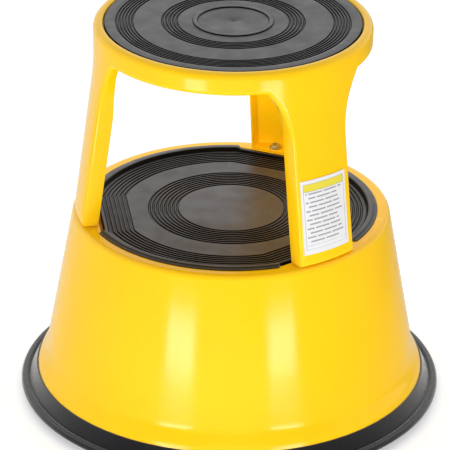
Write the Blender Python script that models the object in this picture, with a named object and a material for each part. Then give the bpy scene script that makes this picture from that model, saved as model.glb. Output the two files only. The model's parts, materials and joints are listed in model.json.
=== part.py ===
"""Kick step stool: a two-step pressed-steel stool on three spring-loaded castors.

Metres, +Z up. The origin is on the floor under the middle of the base, with the stool standing
unloaded on its castors. The leg that carries the label points along -Y.
"""

import math

import bmesh
import bpy
from mathutils import Vector

# ---- general ----
GAP = 0.0003                # air between neighbouring solids
SHEET = 0.0015              # steel sheet of the base shell and the upper frame
LEG_ANGLES = [math.radians(a) for a in (-90, 30, 150)]
CASTOR_ANGLES = [math.radians(a) for a in (90, 210, 330)]

# ---- columns of the round pieces ----
NOTCH_TURN = math.radians(18.3)    # half the notch that the lower step leaves for a leg
ARC_TURN = math.radians(18.9)      # the round stretch between two legs starts here
NOTCH_STEPS = 6
ARC_STEPS = 14

# ---- base shell ----
DECK_Z = 0.2105             # rim of the lower step
RECESS_Z = 0.2064           # floor of the step's dished middle, which holds the tread
RECESS_R = 0.1462           # upper edge of the dish between the legs
RECESS_CHORD = 0.1432       # distance of that edge from the axis at a leg's notch
RECESS_RUN = 0.0012         # how far the dish's wall slopes inwards
DECK_R = 0.1617             # where the flat rim turns over into the shoulder
SHOULDER_R = 0.0065         # radius of the rounded shoulder
CONE_TOP = (0.1678, 0.2068)  # radius and height of the top of the straight cone
CONE_SLOPE = 0.1836         # growth of the cone's radius per metre down
FLARE_TOP_Z = 0.0460        # the foot's flare starts here
FLARE_EDGE = (0.2047, 0.0345)
FOOT = (0.2116, 0.0115)     # lower edge of the shell, inside the bumper ring

# ---- bumper ring ----
RING_Z = 0.007              # underside of the ring above the floor
BUMPER_R = 0.2250
BUMPER_INNER_R = 0.1990
BUMPER_INNER_TOP = 0.0200   # top of the ring inside the shell
BUMPER_LIP_Z = 0.0285       # top of the thin lip outside the shell
FOOT_LEAN = 0.28            # slope of the shell's flared foot, inside the ring

# ---- upper frame ----
LIP_Z = 0.4226              # top of the rolled lip round the top step
LIP_OUT_R = 0.0060          # outer radius of the lip's roll
LIP_IN_R = 0.0025
LIP_WALL_R = 0.1345         # inside wall of the lip, round the tread
PLATE_Z = 0.4170            # top of the plate under the top tread
SKIRT_R = 0.1445
SKIRT_FOOT_Z = 0.3988       # lower edge of the skirt between the legs
SKIRT_FLANGE = 0.0110       # depth of the skirt's inward turned edge
LEG_KNEE_Z = 0.3730         # the legs lean outwards below this height
LEG_KNEE_W = 0.0120         # softness of that bend
LEG_SLOPE = 0.131           # growth of the legs' radius per metre down
LEG_HALF = 0.0350           # half the width of a leg
FLANGE_FLARE = 0.05         # the leg's flanges open outwards by this slope
LEG_TAB_CHORD = 0.1450      # distance of the foot tab's inner edge from the axis
ARCH_R = 0.0950             # radius of the sweep from a leg's side up to the skirt
ARCH_Z = 0.3360             # that sweep starts at this height
BEND_R = 0.0045             # outer radius of the pressed edges

# ---- treads ----
TOP_TREAD_R = 0.1333
TOP_TREAD_Z = 0.4218
LOW_TREAD_R = 0.1545
LOW_TREAD_CHORD = 0.1400    # distance of the leg notch's straight edge from the axis
LOW_TREAD_FIELD_Z = 0.2085  # the flat fields between the ribs
LOW_TREAD_LIP_Z = 0.2124    # top of the raised lip between the legs
LOW_TREAD_LAP = 0.0095      # how far the tread's edge laps over the step's rim between the legs
LOW_TREAD_FLANGE = 0.0065   # width of the thin flange outside the lip

# ---- leg bolts ----
BOLT_R = 0.0030
BOLT_HEAD_R = 0.0065
BOLT_HEAD_H = 0.0042
BOLT_CHORD = 0.1530         # distance of the bolts from the axis, along the leg's direction
BOLT_OFFSET = 0.0100        # distance of each bolt from the leg's middle
NUT_R = 0.0058
NUT_H = 0.0050
BOLT_END = 0.0015           # the bolts stand out below their nuts by this

# ---- castors ----
CASTOR_R = 0.1400           # distance of the swivel axis from the stool's axis
TRAIL = 0.0140              # the axle stands this far off the swivel axis
WHEEL_R = 0.0200
WHEEL_HALF = 0.0090
HUB_R = 0.0150
AXLE_R = 0.0030
FORK_HALF = 0.0125          # half the fork's outside width
FORK_T = 0.0020
FORK_BOSS_R = 0.0065        # roundness of the fork's foot about the axle
CROWN_Z = 0.0428            # underside of the fork's crown
CROWN_T = 0.0025
STEM_R = 0.0050
COLLAR_R = 0.0125
COLLAR_T = 0.0030
STEM_TOP_Z = 0.1060
SHELF_Z = 0.0905            # top of the bracket's shelf
SHELF_T = 0.0020
SHELF_HALF = 0.0260
SHELF_DROP = 0.0140         # depth of the bracket's turned-down edge
SHELF_FRONT = 0.0180        # reach of the bracket's front past the swivel axis
BUSH_WALL = 0.0016
BUSH_FLANGE_R = 0.0115
BUSH_FLANGE_T = 0.0030
WASHER_R = 0.0090
WASHER_T = 0.0015
CLIP_R = 0.0076
CLIP_T = 0.0010
CLIP_GROOVE = 0.0008        # depth of the stem's groove for the clip
SPRING_R = 0.0095           # middle of the coil
SPRING_WIRE_R = 0.0010
SPRING_TURNS = 4.5

# ---- label ----
LABEL_HALF = 0.0285
LABEL_SHIFT = -0.0025       # the label sits a little to one side of the leg's middle
LABEL_Z = (0.2245, 0.3030)


# ---------------------------------------------------------------- helpers
def clear_scene():
    for item in list(bpy.data.objects):
        bpy.data.objects.remove(item, do_unlink=True)


def make_material(name, colour, roughness, metallic):
    material = bpy.data.materials.new(name)
    material.use_nodes = True
    shader = material.node_tree.nodes["Principled BSDF"]
    shader.inputs["Base Color"].default_value = (*colour, 1.0)
    shader.inputs["Roughness"].default_value = roughness
    shader.inputs["Metallic"].default_value = metallic
    return material


def add_object(name, bm, material, parent=None):
    """Turns a bmesh into a smooth-shaded object with its faces pointing out."""
    bmesh.ops.remove_doubles(bm, verts=bm.verts[:], dist=1e-6)
    bmesh.ops.recalc_face_normals(bm, faces=bm.faces[:])
    mesh = bpy.data.meshes.new(name)
    bm.to_mesh(mesh)
    bm.free()
    mesh.materials.append(material)
    mesh.shade_smooth()
    mesh.set_sharp_from_angle(angle=math.radians(32))
    item = bpy.data.objects.new(name, mesh)
    bpy.context.scene.collection.objects.link(item)
    item.parent = parent
    return item


def add_empty(name, location, turn=0.0, parent=None):
    item = bpy.data.objects.new(name, None)
    item.location = location
    item.rotation_euler = (0.0, 0.0, turn)
    item.parent = parent
    bpy.context.scene.collection.objects.link(item)
    return item


def turned_mesh(profile, segments, axis="Z"):
    """Spins (radius, height) points about an axis; a profile off the axis is closed into a ring."""
    bm = bmesh.new()
    points = []
    for radius, height in profile:
        place = (radius, 0.0, height) if axis == "Z" else (radius, height, 0.0)
        points.append(bm.verts.new(place))
    pairs = list(zip(points, points[1:]))
    if profile[0][0] > 0.0:
        pairs.append((points[-1], points[0]))
    edges = [bm.edges.new(pair) for pair in pairs]
    direction = (0.0, 0.0, 1.0) if axis == "Z" else (0.0, 1.0, 0.0)
    bmesh.ops.spin(bm, geom=points + edges, cent=(0, 0, 0), axis=direction,
                   angle=2 * math.pi, steps=segments, use_merge=False)
    return bm


def turned(name, profile, segments, material, parent=None, axis="Z"):
    return add_object(name, turned_mesh(profile, segments, axis), material, parent)


def arc(centre, radius, start, end, steps):
    """(radius, height) points on an arc, angles in degrees from the outward direction."""
    points = []
    for k in range(steps + 1):
        turn = math.radians(start + (end - start) * k / steps)
        points.append((centre[0] + radius * math.cos(turn), centre[1] + radius * math.sin(turn)))
    return points


def prism_mesh(outline, low, high):
    """An (x, z) outline made solid between two y values."""
    bm = bmesh.new()
    face = bm.faces.new([bm.verts.new((x, low, z)) for x, z in outline])
    moved = bmesh.ops.extrude_face_region(bm, geom=[face])["geom"]
    shift = Vector((0.0, high - low, 0.0))
    bmesh.ops.translate(bm, verts=[v for v in moved if isinstance(v, bmesh.types.BMVert)], vec=shift)
    return bm


def add_cylinder(bm, radius, length, centre, segments, axis="Z"):
    made = bmesh.ops.create_cone(bm, cap_ends=True, segments=segments, radius1=radius, radius2=radius,
                                 depth=length)["verts"]
    if axis == "Y":
        for vert in made:
            vert.co = Vector((vert.co.x, vert.co.z, -vert.co.y))
    bmesh.ops.translate(bm, verts=made, vec=Vector(centre))


def add_cutter(name, bm, parent=None):
    item = add_object(name, bm, make_material("cutter", (1, 0, 0), 0.5, 0), parent)
    item.hide_render = True
    item.display_type = "WIRE"
    return item


def cut(item, cutter):
    modifier = item.modifiers.new("cut", "BOOLEAN")
    modifier.operation = "DIFFERENCE"
    modifier.solver = "EXACT"
    modifier.object = cutter


def thicken(item, thickness):
    modifier = item.modifiers.new("sheet", "SOLIDIFY")
    modifier.thickness = thickness
    modifier.offset = -1.0
    modifier.use_even_offset = True


def sheet_between(bm, lines):
    """Quads between neighbouring lines of points that have the same count."""
    rows = [[bm.verts.new(p) for p in line] for line in lines]
    for first, second in zip(rows, rows[1:]):
        for k in range(len(first) - 1):
            bm.faces.new((first[k], first[k + 1], second[k + 1], second[k]))


def round_columns():
    """(angle, stretch) of the round pieces' mesh columns.

    At a leg's notch the stretch turns a distance along the leg into a radius; elsewhere it is None.
    """
    columns = []
    for leg in LEG_ANGLES:
        for k in range(NOTCH_STEPS + 1):
            turn = NOTCH_TURN * (2 * k / NOTCH_STEPS - 1)
            columns.append((leg + turn, 1.0 / math.cos(turn)))
        for k in range(ARC_STEPS + 1):
            turn = ARC_TURN + (2 * math.pi / 3 - 2 * ARC_TURN) * k / ARC_STEPS
            columns.append((leg + turn, None))
    return columns


def swept(name, profile_of, material):
    """Joins the (radius, height) profiles that stand at the round pieces' columns."""
    columns = round_columns()
    lines = []
    for angle, stretch in columns + columns[:1]:
        lines.append([Vector((r * math.cos(angle), r * math.sin(angle), z)) for r, z in profile_of(stretch)])
    bm = bmesh.new()
    sheet_between(bm, lines)
    return add_object(name, bm, material)


def leg_point(angle, chord, offset, z):
    """A point at a distance along a leg's direction and an offset across it."""
    return Vector((chord * math.cos(angle) - offset * math.sin(angle),
                   chord * math.sin(angle) + offset * math.cos(angle), z))


# ---------------------------------------------------------------- base shell and bumper ring
def cone_radius(z):
    """Outside radius of the base shell between its shoulder and its foot."""
    if z >= FLARE_TOP_Z:
        return CONE_TOP[0] + CONE_SLOPE * (CONE_TOP[1] - z)
    top = (CONE_TOP[0] + CONE_SLOPE * (CONE_TOP[1] - FLARE_TOP_Z), FLARE_TOP_Z)
    if z >= FLARE_EDGE[1]:
        low, high = FLARE_EDGE, top
    else:
        low, high = FOOT, FLARE_EDGE
    share = (z - low[1]) / (high[1] - low[1])
    return low[0] + (high[0] - low[0]) * share


def shell_profile(dish_edge, inset):
    """Points of the shell's profile from the axis to the foot, set in from the outside by inset."""
    lean = math.degrees(math.atan(CONE_SLOPE))
    slant = 1.0 / math.cos(math.radians(lean))
    centre = (DECK_R, DECK_Z - SHOULDER_R)
    edge = dish_edge + inset
    points = [(0.0, RECESS_Z - inset), (edge - RECESS_RUN, RECESS_Z - inset), (edge, DECK_Z - inset)]
    points += arc(centre, SHOULDER_R - inset, 90, lean, 4)
    heights = (0.16, 0.105, FLARE_TOP_Z + 0.002, FLARE_TOP_Z - 0.002, FLARE_EDGE[1] + 0.002,
               FLARE_EDGE[1] - 0.002)
    points += [(cone_radius(z) - inset * slant, z) for z in heights]
    points.append((FOOT[0] - inset * slant, FOOT[1]))
    return points


def build_base_shell(paint):
    def profile_of(stretch):
        dish_edge = RECESS_CHORD * stretch if stretch else RECESS_R
        return shell_profile(dish_edge, 0.0) + shell_profile(dish_edge, SHEET)[::-1]

    return swept("base_shell", profile_of, paint)


def build_bumper_ring(rubber):
    """A moulded ring that grips the shell's foot, with a thin lip up the outside."""
    slot_z = FOOT[1] - GAP
    wall = SHEET / math.cos(math.atan(FOOT_LEAN)) + GAP
    profile = [
        (cone_radius(BUMPER_LIP_Z) + GAP, BUMPER_LIP_Z),
        (cone_radius(BUMPER_LIP_Z) + 0.0016, BUMPER_LIP_Z - 0.0004),
        (BUMPER_R - 0.0098, 0.0126),
        (BUMPER_R - 0.0087, 0.0124),
        (BUMPER_R - 0.0050, 0.0136),
        (BUMPER_R - 0.0014, 0.0131),
        (BUMPER_R, 0.0108),
        (BUMPER_R, 0.0088),
        (BUMPER_R - 0.0015, RING_Z),
        (BUMPER_INNER_R, RING_Z),
        (BUMPER_INNER_R + 0.0015, BUMPER_INNER_TOP),
        (cone_radius(BUMPER_INNER_TOP) - wall, BUMPER_INNER_TOP),
        (FOOT[0] - wall, slot_z),
        (FOOT[0] + GAP, slot_z),
    ]
    return swept("bumper_ring", lambda stretch: profile + profile[:1], rubber)


# ---------------------------------------------------------------- upper frame
def skin_radius(z):
    """Outside radius of the frame: upright at the skirt, leaning outwards down the legs."""
    below = LEG_KNEE_Z - z
    return SKIRT_R + LEG_SLOPE * 0.5 * (below + math.hypot(below, LEG_KNEE_W))


def skin_lean(z):
    step = 0.0005
    return (skin_radius(z - step) - skin_radius(z + step)) / (2 * step)


def half_columns(leg_steps, arch_steps, window_steps):
    """Mesh columns from a leg's middle to the next window's middle.

    Each has the offset across the leg or the angle, the height of its lower end, the direction that
    its lower edge faces (across, down), and how far the flange has changed from leg to skirt.
    """
    columns = []
    for k in range(leg_steps + 1):
        columns.append({"offset": (LEG_HALF - BEND_R) * k / leg_steps, "end": ARCH_Z,
                        "facing": (0.0, 1.0), "share": 0.0})
    reach = ARCH_R + BEND_R
    sweep = math.asin((SKIRT_FOOT_Z + BEND_R - ARCH_Z) / reach)
    for k in range(1, arch_steps + 1):
        turn = sweep * k / arch_steps
        facing = (math.cos(turn), math.sin(turn))
        if k == arch_steps:
            facing = (math.cos(turn) / (1.0 + math.sin(turn)), 1.0)
        columns.append({"offset": LEG_HALF + ARCH_R - reach * math.cos(turn),
                        "end": ARCH_Z + reach * math.sin(turn),
                        "facing": facing, "share": k / arch_steps})
    start = math.asin(columns[-1]["offset"] / SKIRT_R)
    for k in range(1, window_steps + 1):
        columns.append({"angle": start + (math.pi / 3 - start) * k / window_steps,
                        "end": SKIRT_FOOT_Z + BEND_R, "facing": (0.0, 1.0), "share": 1.0})
    return columns


def column_angle(column, side, z):
    if "angle" in column:
        return side * column["angle"]
    return side * math.asin(column["offset"] / skin_radius(z))


def skin_point(leg, column, side, z):
    angle = leg + column_angle(column, side, z)
    radius = skin_radius(z)
    return Vector((radius * math.cos(angle), radius * math.sin(angle), z))


def edge_rib(leg, column, side, z, facing, steps):
    """Points that turn the pressed edge in: round the bend, then along the inward flange."""
    angle = leg + column_angle(column, side, z)
    out = Vector((math.cos(angle), math.sin(angle), 0.0))
    aside = Vector((-math.sin(angle), math.cos(angle), 0.0)) * side
    leg_out = Vector((math.cos(leg), math.sin(leg), 0.0))
    leg_aside = Vector((-math.sin(leg), math.cos(leg), 0.0)) * side
    lean = skin_lean(z)
    fall = Vector((lean * out.x, lean * out.y, -1.0)).normalized()
    normal = Vector((out.x, out.y, lean)).normalized()
    across, down = facing
    edge_dir = aside * across + fall * down
    share = column["share"]
    flare = FLANGE_FLARE * min(1.0, column.get("offset", 0.0) / (LEG_HALF - BEND_R))
    inward = (leg_aside * flare - leg_out).lerp(-out, share).normalized()
    sweep = math.acos(max(-1.0, min(1.0, inward.dot(edge_dir.normalized()))))
    centre = skin_point(leg, column, side, z) - normal * BEND_R
    points = []
    for k in range(steps + 1):
        turn = sweep * k / steps
        points.append(centre + normal * (BEND_R * math.cos(turn)) + edge_dir * (BEND_R * math.sin(turn)))
    foot_chord = math.sqrt(skin_radius(DECK_Z) ** 2 - LEG_HALF ** 2)
    chord_here = math.sqrt(skin_radius(z) ** 2 - LEG_HALF ** 2)
    flange_end = chord_here - (foot_chord - LEG_TAB_CHORD)
    if down > 0.0 and share == 0.0:
        flange_end = LEG_TAB_CHORD
    leg_depth = (points[-1].dot(leg_out) - flange_end) / -inward.dot(leg_out)
    depth = leg_depth + (SKIRT_FLANGE - BEND_R - leg_depth) * share
    points.append(points[-1] + inward * depth)
    return points


def edge_ribs(leg, columns, side, leg_rows, foot_z, bend_steps):
    """Ribs from the middle of a leg's foot, up its side, round the arch to the window's middle."""
    legs = [c for c in columns if c["share"] == 0.0]
    edge = legs[-1]
    ribs = [edge_rib(leg, c, side, foot_z, (0.0, 1.0), bend_steps) for c in legs[:-1]]
    ribs.append(edge_rib(leg, edge, side, foot_z, (1.0, 1.0), bend_steps))
    for k in range(1, leg_rows + 1):
        z = foot_z + (edge["end"] - foot_z) * k / leg_rows
        ribs.append(edge_rib(leg, edge, side, z, (1.0, 0.0), bend_steps))
    for column in columns[len(legs):]:
        ribs.append(edge_rib(leg, column, side, column["end"], column["facing"], bend_steps))
    return ribs


def top_profile():
    """The frame's profile from the top of the skirt, over the rolled lip, to the plate's middle."""
    centre_out = (SKIRT_R - LIP_OUT_R, LIP_Z - LIP_OUT_R)
    centre_in = (LIP_WALL_R + LIP_IN_R, LIP_Z - LIP_IN_R)
    points = arc(centre_out, LIP_OUT_R, 0, 90, 3)[1:]
    points += arc(centre_in, LIP_IN_R, 90, 180, 2)[1:]
    points.append((LIP_WALL_R, PLATE_Z))
    points += [(0.07, PLATE_Z), (0.0, PLATE_Z)]
    return points


def heights_between(top, bottom, rows):
    return [top + (bottom - top) * k / rows for k in range(rows + 1)]


def build_upper_frame(paint, hole_cutter):
    skirt_rows = 4
    leg_rows = 3
    lip_z = LIP_Z - LIP_OUT_R
    lean = skin_lean(DECK_Z)
    foot_z = DECK_Z + GAP + BEND_R * (1.0 + lean / math.hypot(1.0, lean))
    columns = half_columns(2, 4, 3)
    bm = bmesh.new()
    for leg in LEG_ANGLES:
        for side in (-1, 1):
            skirt = []
            crown = []
            for column in columns:
                heights = heights_between(lip_z, column["end"], skirt_rows)
                skirt.append([skin_point(leg, column, side, z) for z in heights])
                angle = leg + column_angle(column, side, lip_z)
                line = [skin_point(leg, column, side, lip_z)]
                for radius, z in top_profile():
                    line.append(Vector((radius * math.cos(angle), radius * math.sin(angle), z)))
                crown.append(line)
            sheet_between(bm, skirt)
            sheet_between(bm, crown)
            shaft = []
            for column in [c for c in columns if c["share"] == 0.0]:
                heights = heights_between(column["end"], foot_z, leg_rows)
                shaft.append([skin_point(leg, column, side, z) for z in heights])
            sheet_between(bm, shaft)
            sheet_between(bm, edge_ribs(leg, columns, side, leg_rows, foot_z, 2))
    bmesh.ops.remove_doubles(bm, verts=bm.verts[:], dist=1e-5)
    item = add_object("upper_frame", bm, paint)
    item.data.update()
    highest = max(item.data.polygons, key=lambda face: face.center.z)
    if highest.normal.z < 0.0:
        item.data.flip_normals()
    thicken(item, SHEET)
    cut(item, hole_cutter)
    return item


# ---------------------------------------------------------------- treads and label
def build_top_tread(rubber):
    floor = PLATE_Z + GAP
    top = TOP_TREAD_Z
    groove = top - 0.0012
    field = top - 0.0004
    edge = 0.0010
    profile = [
        (0.0, field), (0.058, field), (0.059, groove), (0.0743, groove), (0.0755, field),
        (0.103, field), (0.104, groove), (0.1225, groove), (0.124, top),
        (TOP_TREAD_R - edge, top), (TOP_TREAD_R, top - edge), (TOP_TREAD_R, floor), (0.0, floor),
    ]
    return turned("top_tread_mat", profile, 48, rubber)


def low_tread_profile(stretch):
    """From the underside's middle, out to the edge, up over the flange and the lip, and back."""
    floor = RECESS_Z + GAP
    shelf = DECK_Z + GAP
    field = LOW_TREAD_FIELD_Z
    groove = field - 0.0008
    edge, lip_z, lap, flange = LOW_TREAD_R, LOW_TREAD_LIP_Z, LOW_TREAD_LAP, LOW_TREAD_FLANGE
    if stretch:
        edge, lip_z, lap, flange = LOW_TREAD_CHORD * stretch, shelf + 0.0008, 0.0006, 0.0005
    lip = edge - flange - 0.0005
    lip_width = 0.0065
    return [(0.0, floor), (edge - lap, floor), (edge - lap, shelf), (edge, shelf), (edge, shelf + 0.0004),
            (edge - flange, shelf + 0.0006), (lip, lip_z), (lip - lip_width, lip_z),
            (lip - lip_width - 0.0008, field), (0.0900, field), (0.0885, groove), (0.0570, groove),
            (0.0555, field), (0.0, field)]


def build_low_tread(rubber):
    return swept("lower_tread_mat", low_tread_profile, rubber)


def build_label(paper):
    """A thin plate that follows the outer face of the front leg."""
    columns = 6
    leg = LEG_ANGLES[0]
    lines = []
    for k in range(columns + 1):
        offset = LABEL_SHIFT + LABEL_HALF * (2 * k / columns - 1)
        corners = []
        for z in LABEL_Z:
            for lift in (GAP, 2 * GAP):
                radius = skin_radius(z) + lift
                turn = math.asin(offset / radius)
                corners.append(Vector((radius * math.cos(leg + turn), radius * math.sin(leg + turn), z)))
        lines.append([corners[0], corners[1], corners[3], corners[2], corners[0]])
    bm = bmesh.new()
    sheet_between(bm, lines)
    bmesh.ops.remove_doubles(bm, verts=bm.verts[:], dist=1e-6)
    bmesh.ops.holes_fill(bm, edges=[e for e in bm.edges if e.is_boundary], sides=0)
    return add_object("leg_label", bm, paper)


# ---------------------------------------------------------------- leg bolts
def bolt_places():
    """(bolt's name, nut's name, place) of the two bolts of each leg's foot tab."""
    places = []
    for number, leg in enumerate(LEG_ANGLES, start=1):
        for word, side in (("left", -1), ("right", 1)):
            spot = leg_point(leg, BOLT_CHORD, side * BOLT_OFFSET, 0.0)
            places.append((f"leg_{number}_bolt_{word}", f"leg_{number}_nut_{word}", spot))
    return places


def build_bolt_hole_cutter():
    bm = bmesh.new()
    for _, _, spot in bolt_places():
        add_cylinder(bm, BOLT_R + GAP, 0.012, (spot.x, spot.y, DECK_Z), 12)
    return add_cutter("bolt_hole_cutter", bm)


def nut_mesh(top):
    """A hexagon round a plain bore: every second corner of the outline lies mid-way along a flat."""
    bore = BOLT_R + GAP
    lines = []
    for k in range(13):
        turn = 2 * math.pi * k / 12
        outer = NUT_R * (1.0 if k % 2 == 0 else math.cos(math.pi / 6))
        corners = [(outer, top), (outer, top - NUT_H), (bore, top - NUT_H), (bore, top), (outer, top)]
        lines.append([Vector((r * math.cos(turn), r * math.sin(turn), z)) for r, z in corners])
    bm = bmesh.new()
    sheet_between(bm, lines)
    return bm


def build_bolts(steel):
    head_z = DECK_Z + GAP + SHEET + GAP
    nut_top = DECK_Z - SHEET - GAP
    end_z = nut_top - NUT_H - BOLT_END
    head = [(0.0, head_z + BOLT_HEAD_H), (BOLT_HEAD_R * 0.62, head_z + BOLT_HEAD_H * 0.80),
            (BOLT_HEAD_R, head_z + BOLT_HEAD_H * 0.25), (BOLT_HEAD_R, head_z), (BOLT_R, head_z),
            (BOLT_R, end_z), (0.0, end_z)]
    for bolt_name, nut_name, spot in bolt_places():
        turned(bolt_name, head, 12, steel).location = spot
        add_object(nut_name, nut_mesh(nut_top), steel).location = spot


# ---------------------------------------------------------------- castors
def build_bracket(name, steel, parent):
    """An inverted pressed tray whose back follows the cone's inside wall."""
    rear_turn = math.asin(SHELF_HALF / cone_radius(SHELF_Z))
    lines = []
    rear_steps = 4
    wall = SHEET / math.cos(math.atan(CONE_SLOPE)) + GAP
    for k in range(rear_steps + 1):
        turn = rear_turn * (2 * k / rear_steps - 1)
        line = [Vector((0.0, 0.0, SHELF_Z))]
        for z in (SHELF_Z, SHELF_Z - SHELF_DROP):
            radius = cone_radius(z) - wall
            line.append(Vector((radius * math.cos(turn) - CASTOR_R, radius * math.sin(turn), z)))
        lines.append(line)
    for k in range(7):
        turn = math.radians(90 + 180 * k / 6)
        x = SHELF_FRONT * math.cos(turn)
        y = SHELF_HALF * math.sin(turn)
        lines.append([Vector((0.0, 0.0, SHELF_Z)), Vector((x, y, SHELF_Z)),
                      Vector((x, y, SHELF_Z - SHELF_DROP))])
    lines.append(lines[0])
    bm = bmesh.new()
    sheet_between(bm, lines)
    item = add_object(name, bm, steel, parent)
    if max(item.data.polygons, key=lambda face: face.center.z).normal.z < 0.0:
        item.data.flip_normals()
    thicken(item, SHELF_T)
    hole = bmesh.new()
    add_cylinder(hole, STEM_R + BUSH_WALL + 3 * GAP, 0.02, (0.0, 0.0, SHELF_Z), 12)
    cut(item, add_cutter(name + "_cutter", hole, parent))
    return item


def build_bush(name, plastic, parent):
    bore = STEM_R + GAP
    barrel = STEM_R + BUSH_WALL + 2 * GAP
    low = SHELF_Z - SHELF_T
    shelf = SHELF_Z + GAP
    top = bush_top()
    profile = [(bore, top), (BUSH_FLANGE_R, top), (BUSH_FLANGE_R, shelf), (barrel, shelf), (barrel, low),
               (bore, low)]
    return turned(name, profile, 12, plastic, parent)


def bush_top():
    return SHELF_Z + GAP + BUSH_FLANGE_T


def build_stem(name, steel, parent):
    """Sliding stem: riveted end under the fork, spring collar, shaft with a clip groove."""
    neck_z = CROWN_Z - GAP
    collar_z = CROWN_Z + CROWN_T + GAP
    groove_z = bush_top() + GAP + WASHER_T + GAP
    groove_top = groove_z + CLIP_T + 2 * GAP
    groove_r = STEM_R - CLIP_GROOVE
    rivet_r = 0.0060
    profile = [
        (0.0, STEM_TOP_Z), (STEM_R - 0.001, STEM_TOP_Z), (STEM_R, STEM_TOP_Z - 0.001),
        (STEM_R, groove_top), (groove_r, groove_top), (groove_r, groove_z),
        (STEM_R, groove_z), (STEM_R, collar_z + COLLAR_T), (COLLAR_R, collar_z + COLLAR_T),
        (COLLAR_R, collar_z), (STEM_R, collar_z), (STEM_R, neck_z), (rivet_r, neck_z),
        (rivet_r, neck_z - 0.0016), (rivet_r - 0.0010, neck_z - 0.0024), (0.0, neck_z - 0.0024),
    ]
    return turned(name, profile, 12, steel, parent)


def flat_ring(name, bore, rim, low, thickness, steel, parent):
    high = low + thickness
    turned(name, [(bore, high), (rim, high), (rim, low), (bore, low)], 12, steel, parent)


def build_retainer(castor, steel, parent):
    """The washer on the guide bush, and the clip in the stem's groove above it."""
    washer_z = bush_top() + GAP
    clip_z = washer_z + WASHER_T + GAP
    flat_ring(f"{castor}_washer", STEM_R + GAP, WASHER_R, washer_z, WASHER_T, steel, parent)
    flat_ring(f"{castor}_clip", STEM_R - CLIP_GROOVE + GAP, CLIP_R, clip_z, CLIP_T, steel, parent)


def build_spring(name, steel, parent):
    """A coil between the stem's collar and the underside of the bracket's shelf."""
    low = CROWN_Z + CROWN_T + GAP + COLLAR_T + GAP + SPRING_WIRE_R
    high = SHELF_Z - SHELF_T - GAP - SPRING_WIRE_R
    steps = int(SPRING_TURNS * 8)
    sides = 4
    rings = []
    for k in range(steps + 1):
        turn = 2 * math.pi * SPRING_TURNS * k / steps
        middle = Vector((SPRING_R * math.cos(turn), SPRING_R * math.sin(turn),
                         low + (high - low) * k / steps))
        out = Vector((math.cos(turn), math.sin(turn), 0.0))
        ring = []
        for side in range(sides):
            round_turn = 2 * math.pi * (side + 0.5) / sides
            ring.append(middle + SPRING_WIRE_R * (out * math.cos(round_turn)
                                                  + Vector((0, 0, math.sin(round_turn)))))
        rings.append(ring)
    bm = bmesh.new()
    sheet_between(bm, [ring + ring[:1] for ring in rings])
    bmesh.ops.remove_doubles(bm, verts=bm.verts[:], dist=1e-6)
    bmesh.ops.holes_fill(bm, edges=[e for e in bm.edges if e.is_boundary], sides=0)
    return add_object(name, bm, steel, parent)


def build_fork(name, steel, parent):
    """A pressed fork: a side outline as wide as the fork, with the wheel's space taken out."""
    top = CROWN_Z + CROWN_T
    outline = [(-0.0120, top), (-0.0120, CROWN_Z - 0.004)]
    outline += arc((TRAIL, WHEEL_R), FORK_BOSS_R, 215, 395, 6)
    outline += [(0.0160, CROWN_Z - 0.004), (0.0160, top)]
    item = add_object(name, prism_mesh(outline, -FORK_HALF, FORK_HALF), steel, parent)
    room = bmesh.new()
    bmesh.ops.create_cube(room, size=1.0)
    inside = 2 * (FORK_HALF - FORK_T)
    bmesh.ops.scale(room, vec=(0.08, inside, 0.08), verts=room.verts[:])
    bmesh.ops.translate(room, vec=(0.0, 0.0, CROWN_Z - 0.04), verts=room.verts[:])
    cut(item, add_cutter(name + "_room", room, parent))
    holes = bmesh.new()
    add_cylinder(holes, STEM_R + GAP, 0.02, (0.0, 0.0, CROWN_Z), 12)
    add_cylinder(holes, AXLE_R + GAP, 0.05, (TRAIL, 0.0, WHEEL_R), 12, "Y")
    cut(item, add_cutter(name + "_holes", holes, parent))
    return item


def build_wheel(castor, steel, plastic, rubber, parent):
    """Axle, hub and tyre about the axle's own line, which is the parent's Y axis."""
    head = FORK_HALF + GAP
    bore = AXLE_R + GAP
    half = WHEEL_HALF
    axle = [(0.0, -head - 0.0012), (0.0045, -head - 0.0012), (0.0045, -head), (AXLE_R, -head),
            (AXLE_R, head), (0.0045, head), (0.0045, head + 0.0012), (0.0, head + 0.0012)]
    hub = [(bore, -half), (0.0060, -half), (0.0075, -half + 0.003), (HUB_R, -half + 0.003),
           (HUB_R, half - 0.003), (0.0075, half - 0.003), (0.0060, half), (bore, half)]
    inner = HUB_R + GAP
    tyre = [(inner, -half + 0.001), (WHEEL_R - 0.003, -half + 0.001), (WHEEL_R, -half + 0.004),
            (WHEEL_R, half - 0.004), (WHEEL_R - 0.003, half - 0.001), (inner, half - 0.001)]
    turned(f"{castor}_axle", axle, 10, steel, parent, "Y")
    turned(f"{castor}_wheel_hub", hub, 16, plastic, parent, "Y")
    turned(f"{castor}_tyre", tyre, 20, rubber, parent, "Y")


def build_castors(steel, paint, plastic, rubber):
    for number, angle in enumerate(CASTOR_ANGLES, start=1):
        castor = f"castor_{number}"
        place = (CASTOR_R * math.cos(angle), CASTOR_R * math.sin(angle), 0.0)
        swivel = add_empty(f"{castor}_swivel_axis", place, angle)
        axle = add_empty(f"{castor}_axle_axis", (TRAIL, 0.0, WHEEL_R), 0.0, swivel)
        build_bracket(f"{castor}_bracket", paint, swivel)
        build_bush(f"{castor}_guide_bush", plastic, swivel)
        build_stem(f"{castor}_stem", steel, swivel)
        build_retainer(castor, steel, swivel)
        build_spring(f"{castor}_spring", steel, swivel)
        build_fork(f"{castor}_fork", steel, swivel)
        build_wheel(castor, steel, plastic, rubber, axle)


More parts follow.
